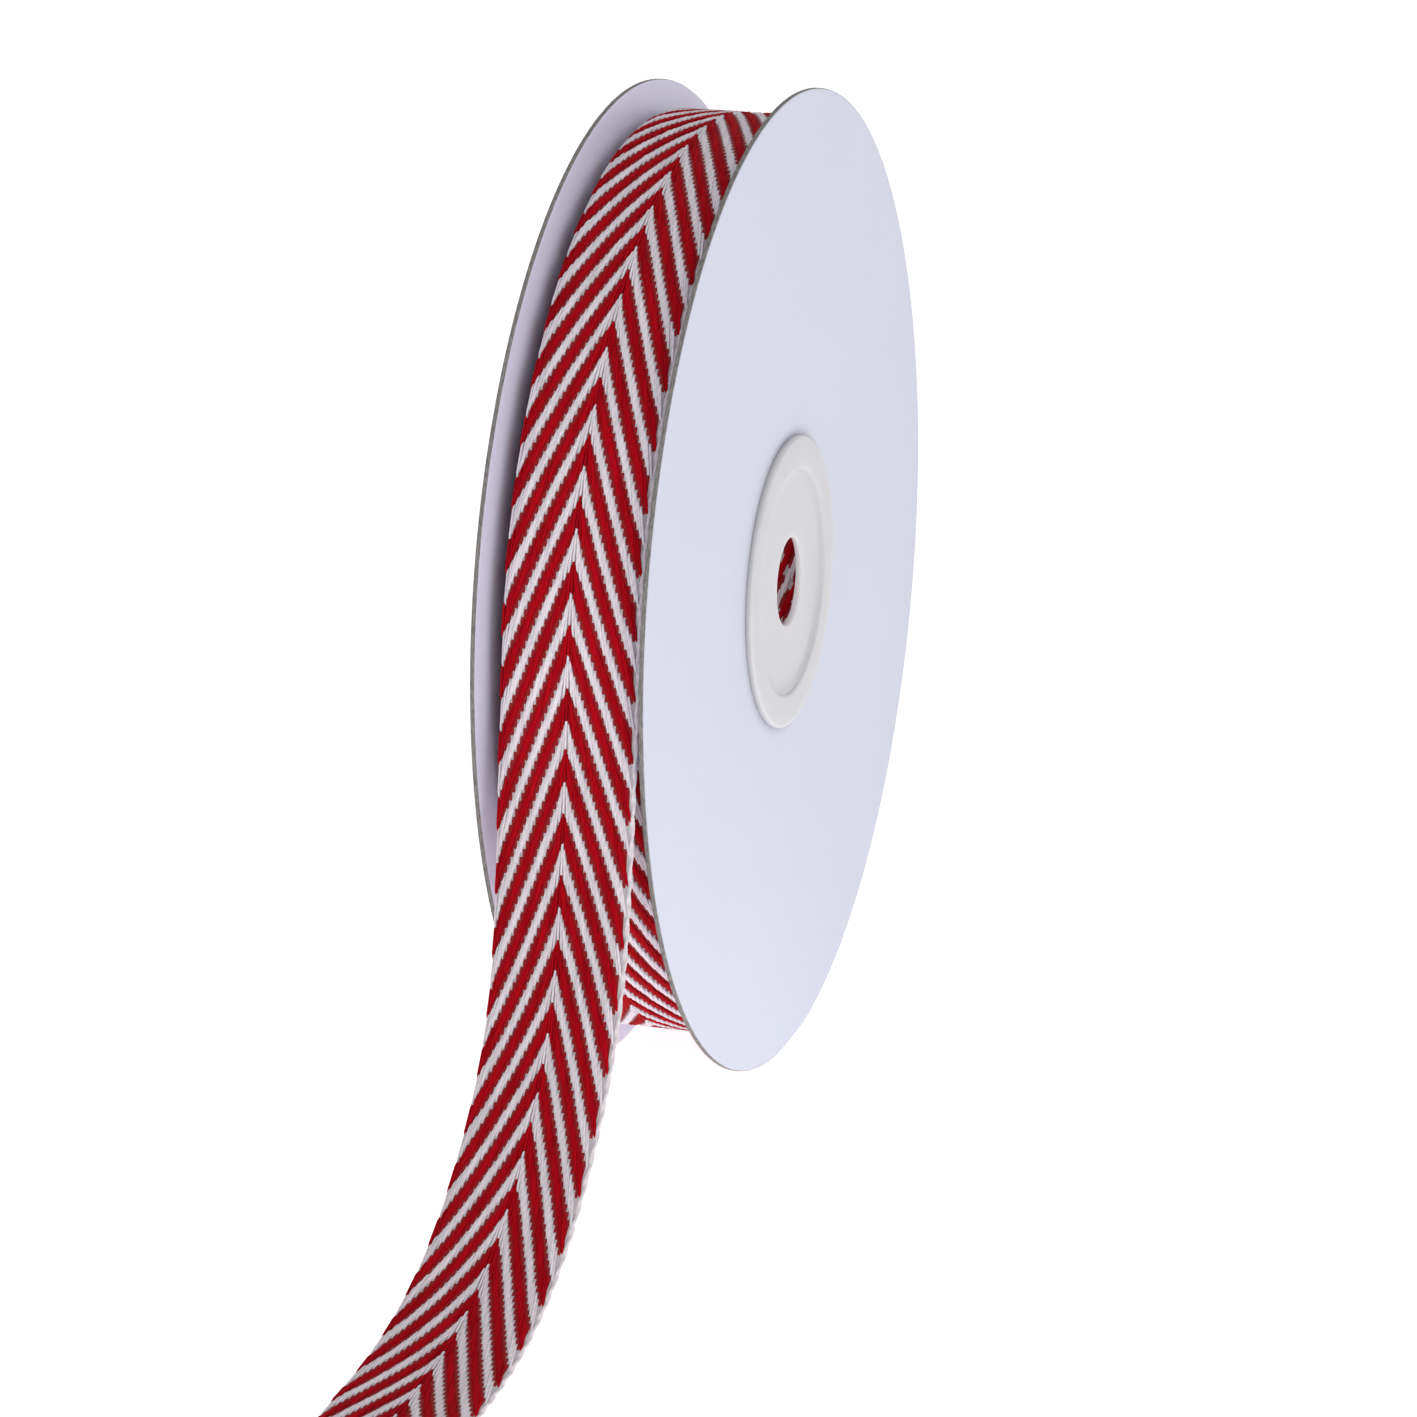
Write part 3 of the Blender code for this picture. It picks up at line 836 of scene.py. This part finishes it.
def makeCordTree():
    tree, put = newTree(
        "selvedgeCord", "GeometryNodeTree",
        [("Geometry", "Geometry"), ("Aside", "Float"), ("Sunk", "Float"), ("Strand Radius", "Float"),
         ("Apart", "Float"), ("Twist", "Float"), ("Profile Points", "Int"), ("Finish", "Material")],
        [("Geometry", "Geometry")],
    )
    width = addNode(
        tree, "GeometryNodeInputNamedAttribute", {"Name": "widthDirection"}, data_type="FLOAT_VECTOR"
    )
    path = addNode(tree, "GeometryNodeMeshToCurve", {"Mesh": put["Geometry"]}).outputs[0]
    tangent = addNode(tree, "GeometryNodeInputTangent").outputs[0]
    downwards = vectors(tree, "CROSS_PRODUCT", width.outputs[0], tangent)
    shift = vectors(
        tree, "ADD", vectors(tree, "SCALE", width.outputs[0], scale=put["Aside"]),
        vectors(tree, "SCALE", downwards, scale=put["Sunk"]),
    )
    path = addNode(tree, "GeometryNodeSetPosition", {"Geometry": path, "Offset": shift}).outputs[0]
    along = addNode(tree, "GeometryNodeSplineParameter").outputs["Length"]
    turned = maths(tree, "MULTIPLY", maths(tree, "DIVIDE", along, put["Twist"]), fullTurn)
    path = addNode(tree, "GeometryNodeSetCurveTilt", {"Curve": path, "Tilt": turned}).outputs[0]
    path = addNode(
        tree, "GeometryNodeStoreNamedAttribute", {"Geometry": path, "Name": "cordAlong", "Value": along},
        data_type="FLOAT", domain="POINT",
    ).outputs[0]
    # two strands side by side: a circle pushed out along one axis and pinched between them
    ring = addNode(
        tree, "GeometryNodeCurvePrimitiveCircle", {"Resolution": put["Profile Points"], "Radius": 1.0}
    ).outputs[0]
    position = addNode(tree, "GeometryNodeInputPosition").outputs[0]
    spot = addNode(tree, "ShaderNodeSeparateXYZ", {0: position}).outputs
    outwards = maths(tree, "ABSOLUTE", spot["X"])
    reach = maths(tree, "MULTIPLY_ADD", outwards, put["Apart"], put["Strand Radius"])
    pinch = maths(tree, "MULTIPLY_ADD", outwards, selvedge["belly"], selvedge["waist"])
    shaped = addNode(tree, "ShaderNodeCombineXYZ", {
        "X": maths(tree, "MULTIPLY", spot["X"], reach),
        "Y": maths(tree, "MULTIPLY", spot["Y"], maths(tree, "MULTIPLY", pinch, put["Strand Radius"])),
    }).outputs[0]
    ring = addNode(tree, "GeometryNodeSetPosition", {"Geometry": ring, "Position": shaped}).outputs[0]
    cord = addNode(
        tree, "GeometryNodeCurveToMesh", {"Curve": path, "Profile Curve": ring, "Fill Caps": True}
    ).outputs[0]
    kept = addNode(
        tree, "GeometryNodeInputNamedAttribute", {"Name": "cordAlong"}, data_type="FLOAT"
    ).outputs[0]
    inYarn = addNode(tree, "ShaderNodeCombineXYZ", {"Y": maths(tree, "MULTIPLY", kept, 1 / mm)}).outputs[0]
    cord = addNode(
        tree, "GeometryNodeStoreNamedAttribute", {"Geometry": cord, "Name": "yarnPlace", "Value": inYarn},
        data_type="FLOAT_VECTOR", domain="POINT",
    ).outputs[0]
    cord = addNode(
        tree, "GeometryNodeStoreNamedAttribute", {"Geometry": cord, "Name": "yarnTone", "Value": 0.6},
        data_type="FLOAT", domain="POINT",
    ).outputs[0]
    real = addNode(tree, "GeometryNodeRealizeInstances", {"Geometry": cord}).outputs[0]
    dressed = addNode(
        tree, "GeometryNodeSetMaterial", {"Geometry": real, "Material": put["Finish"]}
    ).outputs[0]
    addNode(tree, "NodeGroupOutput", {"Geometry": dressed})
    return tree


cordTree = makeCordTree()


def laySelvedge(name, places):
    return growPiece(name, makePathMesh(name, places), cordTree, {
        "Aside": selvedge["aside"],
        "Sunk": selvedge["sunk"],
        "Strand Radius": selvedge["radius"],
        "Apart": selvedge["apart"],
        "Twist": selvedge["twist"],
        "Profile Points": selvedge["profilePoints"],
        "Finish": whiteCord,
    })


turnSelvedge = laySelvedge("turnSelvedge", turnPlaces)
looseSelvedge = laySelvedge("looseSelvedge", looseEndPlaces)


# the card discs and their plugs

def turnShape(name, profile, segments, material):  # spins (radius, place along the axis) about the axis
    bm = bmesh.new()
    ring = [bm.verts.new((along, 0.0, -radius)) for radius, along in profile]
    edges = [bm.edges.new(pair) for pair in zip(ring, ring[1:] + ring[:1])]
    bmesh.ops.spin(
        bm, geom=ring + edges, cent=(0, 0, 0), axis=(1, 0, 0), angle=fullTurn, steps=segments,
        use_merge=True,
    )
    bmesh.ops.remove_doubles(bm, verts=bm.verts, dist=0.0005 * mm)
    bmesh.ops.recalc_face_normals(bm, faces=bm.faces)
    mesh = bpy.data.meshes.new(name)
    bm.to_mesh(mesh)
    bm.free()
    return addObject(name, mesh, material)


disc = {
    "thickness": 0.5 * mm,
    "hole": 12.9 * mm,
    "segments": 540,
    "rings": 10,
    "rollOver": 0.10 * mm,  # where the punch has rounded the outer face's edge
    "ragged": 0.05 * mm,  # how uneven the cut edge is
    "tearsPerMetre": 900,
    "warp": 0.08 * mm,
    "wavesPerMetre": 14,
}


def makeDisc(name, side, node):
    outer = reel["width"] / 2
    inner = outer - disc["thickness"]
    radius, roll, hole = reel["discRadius"], disc["rollOver"], disc["hole"]
    shares = [i / disc["rings"] for i in range(disc["rings"] + 1)]
    cone = [(hole + (radius - 4 * roll - hole) * share, reel["drawnIn"] * (share - 1)) for share in shares]
    profile = [(r, inner + lower) for r, lower in cone]
    profile += [(radius - roll, inner), (radius - roll / 4, inner + roll / 4), (radius, inner + roll)]
    profile += [(radius, (outer + inner) / 2), (radius, outer - 1.3 * roll)]
    profile += [(radius - roll / 3, outer - roll / 3), (radius - 1.3 * roll, outer)]
    profile += [(r, outer + lower) for r, lower in reversed(cone)]
    obj = turnShape(name, [(r, side * along) for r, along in profile], disc["segments"], coatedCard)
    mesh = obj.data
    # cutEdge marks the cut edges; the inside faces are marked for their painted light
    for label in ("cutEdge", "paintedLightInside"):
        mesh.attributes.new(label, "FLOAT", "POINT")
    cut, inside = (mesh.attributes[label].data for label in ("cutEdge", "paintedLightInside"))
    for vert, mark, face in zip(mesh.vertices, cut, inside):
        reach = math.hypot(vert.co.y, vert.co.z)
        lower = reel["drawnIn"] * (1 - (reach - hole) / (radius - hole))
        face.value = 1.0 if abs(vert.co.x) < (outer + inner) / 2 - lower else 0.0
        onEdge = reach > radius - roll / 2 or reach < disc["hole"] + 0.01 * mm
        mark.value = 1.0 if onEdge else 0.0
        if onEdge and reach > radius / 2:
            torn = noise.noise(vert.co * disc["tearsPerMetre"]) * disc["ragged"]
            vert.co.yz = vert.co.yz * (1 - abs(torn) / reach)
        spot = Vector((side * 3.0, vert.co.y, vert.co.z))  # the two discs read different noise
        away = noise.noise(spot * disc["wavesPerMetre"]) * disc["warp"]
        vert.co.x += away * (reach / radius) ** 2 * (-side if away > 0 else side)
        vert.co += reelCentre
        vert.co.z = max(vert.co.z, 0.0)
    mesh.shade_smooth()
    mesh.set_sharp_from_angle(angle=math.radians(60))
    joinBody(obj, "disc_card", node)
    return obj


plug = {
    "ringRadius": 15.7 * mm,
    "proud": 0.8 * mm,  # above the card beside it
    "seat": 0.02 * mm,  # between the card and the ring
    "ringBevel": 0.35 * mm,
    "holeBevel": 0.14 * mm,
    # mm from the lip and the ring's top, then from the lip and the dish's floor
    "lipCurve": ((0.5, 0.0), (0.22, -0.03), (0.0, -0.14), (-0.10, -0.26), (-0.22, -0.30)),
    "floorCurve": ((-0.6, 0.06), (-0.9, 0.0), (-1.6, -0.01)),
    "lipRadius": 12.2 * mm,
    "dishDepth": 0.5 * mm,
    "neckRadius": 12.5 * mm,
    "neckInside": 11.5 * mm,
    "neckEnd": 6.4 * mm,
    "floor": 0.8 * mm,
    "holeRadius": 4.75 * mm,
    "segments": 160,
}


def arc(centreRadius, centreAlong, size, first, last, steps=5):  # a rounded corner, angles in degrees
    angles = [math.radians(first + (last - first) * i / steps) for i in range(steps + 1)]
    return [(centreRadius + size * math.cos(a), centreAlong + size * math.sin(a)) for a in angles]


def makePlug(name, side, node):
    card = reel["width"] / 2 - reel["drawnIn"]
    top = card + plug["proud"]
    floor = top - plug["dishDepth"]
    ring, lip, hole = plug["ringRadius"], plug["lipRadius"], plug["holeRadius"]
    bevel, holeBevel, seat = plug["ringBevel"], plug["holeBevel"], card + plug["seat"]
    profile = [(plug["neckRadius"], plug["neckEnd"]), (plug["neckRadius"], seat)]
    profile += [(ring - 0.04 * mm, seat), (ring, card + 0.06 * mm), (ring, card + 0.30 * mm)]
    profile += arc(ring - bevel, top - bevel, bevel, 10, 90)
    profile += [(lip + out * mm, top + up * mm) for out, up in plug["lipCurve"]]
    profile += [(lip + out * mm, floor + up * mm) for out, up in plug["floorCurve"]]
    profile += [((lip + hole) / 2, floor - 0.03 * mm), (hole + 0.9 * mm, floor)]
    profile += arc(hole + holeBevel, floor - holeBevel, holeBevel, 80, 180)
    profile += [(hole, floor - 0.35 * mm), (hole + 0.4 * mm, floor - plug["floor"])]
    profile += [(plug["neckInside"], floor - plug["floor"])]
    profile += [(plug["neckInside"], plug["neckEnd"])]
    obj = turnShape(name, [(r, side * along) for r, along in profile], plug["segments"], mouldedPlastic)
    for vert in obj.data.vertices:
        vert.co += reelCentre
    obj.data.shade_smooth()
    obj.data.set_sharp_from_angle(angle=math.radians(40))
    joinBody(obj, "plug_plastic", node)
    return obj


makeDisc("cardLeft", -1, "card_disc_left")
makeDisc("cardRight", 1, "card_disc_right")
makePlug("plugLeft", -1, "hub_plug_left")
makePlug("plugRight", 1, "hub_plug_right")
print("discs and plugs made")


# everything rides on the root, and the frame parts that pieces replace are hidden

joinBody(woundTurns, "wound_tape", "tape_winding")
for piece in [turnCloth, *turnYarns, *boreYarns, turnSelvedge]:
    joinBody(piece, "wound_tape")
joinBody(looseCloth, "loose_tape", "tape_tail")
onLooseEnd = [*looseYarns, looseSelvedge]
for piece in onLooseEnd:
    joinBody(piece, "loose_tape")
for helper in (tipFloat, restFloat):
    bpy.data.objects.remove(helper, do_unlink=True)


# floor, light and camera

studio = {
    "floorSize": 8.0,
    "floorColour": (0.92, 0.92, 0.92, 1),
    "floorGlow": 0.50,
    "poolGlow": 0.55,  # a painted pool of light: glow added on the floor beside the reel
    "poolPlace": (0.07, -0.06, 0.0),
    "poolSize": 0.22,
    "skyLow": 0.55,  # strength of the light at the horizon and overhead
    "skyHigh": 0.64,
    "keyPlace": (0.80, -0.95, 0.55),
    "keySize": 1.0,
    "keyPower": 4.9,
    "sidePlace": (1.0, -0.5, 0.20),
    "sideSize": 0.7,
    "sidePower": 0.6,
    "borePower": 0.0020,  # stands in for the light that comes through the pale plugs
}


def makeFloor():
    half = studio["floorSize"] / 2
    mesh = bpy.data.meshes.new("floor")
    corners = [(-half, -half, 0), (half, -half, 0), (half, half, 0), (-half, half, 0)]
    mesh.from_pydata(corners, [], [(0, 1, 2, 3)])
    material, tree, shader = newMaterial("paleFloor", Roughness=0.6)
    shader.inputs["Base Color"].default_value = studio["floorColour"]
    shader.inputs["Emission Strength"].default_value = 1.0
    place = addNode(tree, "ShaderNodeTexCoord").outputs["Object"]
    away = vectors(tree, "LENGTH", vectors(tree, "SUBTRACT", place, studio["poolPlace"]))
    glow = addNode(tree, "ShaderNodeMapRange", {
        "Value": away, "From Min": 0.0, "From Max": studio["poolSize"],
        "To Min": studio["floorGlow"] + studio["poolGlow"], "To Max": studio["floorGlow"],
    }, interpolation_type="SMOOTHSTEP").outputs[0]
    tree.links.new(glow, shader.inputs["Emission Color"])
    addObject("floor", mesh, material)


def makeSky():
    world = bpy.data.worlds.new("studio")
    bpy.context.scene.world = world
    world.use_nodes = True
    tree = world.node_tree
    heading = addNode(tree, "ShaderNodeTexCoord").outputs["Generated"]
    up = addNode(tree, "ShaderNodeSeparateXYZ", {0: heading})
    strength = addNode(tree, "ShaderNodeMapRange", {
        "Value": up.outputs["Z"], "From Min": 0.0, "From Max": 1.0,
        "To Min": studio["skyLow"], "To Max": studio["skyHigh"],
    }).outputs[0]
    background = tree.nodes["Background"]
    background.inputs["Color"].default_value = (1, 1, 1, 1)
    tree.links.new(strength, background.inputs["Strength"])


def makeSoftbox(name, place, size, power):
    light = bpy.data.lights.new(name, "AREA")
    light.shape = "DISK"
    light.size = size
    light.energy = power
    obj = bpy.data.objects.new(name, light)
    bpy.context.scene.collection.objects.link(obj)
    obj.location = place
    obj.rotation_euler = (reelCentre - obj.location).to_track_quat("-Z", "Y").to_euler()


def makeBoreFill():
    light = bpy.data.lights.new("boreFill", "POINT")
    light.shadow_soft_size = 2.0 * mm
    light.energy = studio["borePower"]
    obj = bpy.data.objects.new("boreFill", light)
    bpy.context.scene.collection.objects.link(obj)
    obj.location = reelCentre


view = {
    "distance": 573.0 * mm,
    "azimuth": math.radians(16.974),
    "elevation": math.radians(16.0),
    "lookAzimuth": math.radians(17.010),
    "lookElevation": math.radians(17.432),
    "focal": 5339.0,  # pixels, in a frame of 1417
    "frame": 1417.0,
    "sensor": 36.0,
}


def makeCamera():
    def away(azimuth, elevation):
        return Vector((
            math.sin(azimuth) * math.cos(elevation),
            -math.cos(azimuth) * math.cos(elevation),
            math.sin(elevation),
        ))

    data = bpy.data.cameras.new("camera")
    data.sensor_width = view["sensor"]
    data.lens = view["focal"] / view["frame"] * view["sensor"]
    data.clip_start, data.clip_end = 0.01, 50.0
    obj = bpy.data.objects.new("camera", data)
    bpy.context.scene.collection.objects.link(obj)
    obj.location = reelCentre + away(view["azimuth"], view["elevation"]) * view["distance"]
    look = -away(view["lookAzimuth"], view["lookElevation"])
    obj.rotation_euler = look.to_track_quat("-Z", "Y").to_euler()
    bpy.context.scene.camera = obj


makeFloor()
makeSky()
makeSoftbox("keyLight", studio["keyPlace"], studio["keySize"], studio["keyPower"])
makeSoftbox("sideLight", studio["sidePlace"], studio["sideSize"], studio["sidePower"])
makeBoreFill()
makeCamera()
bpy.context.scene.view_settings.view_transform = "Standard"
print("stage set")
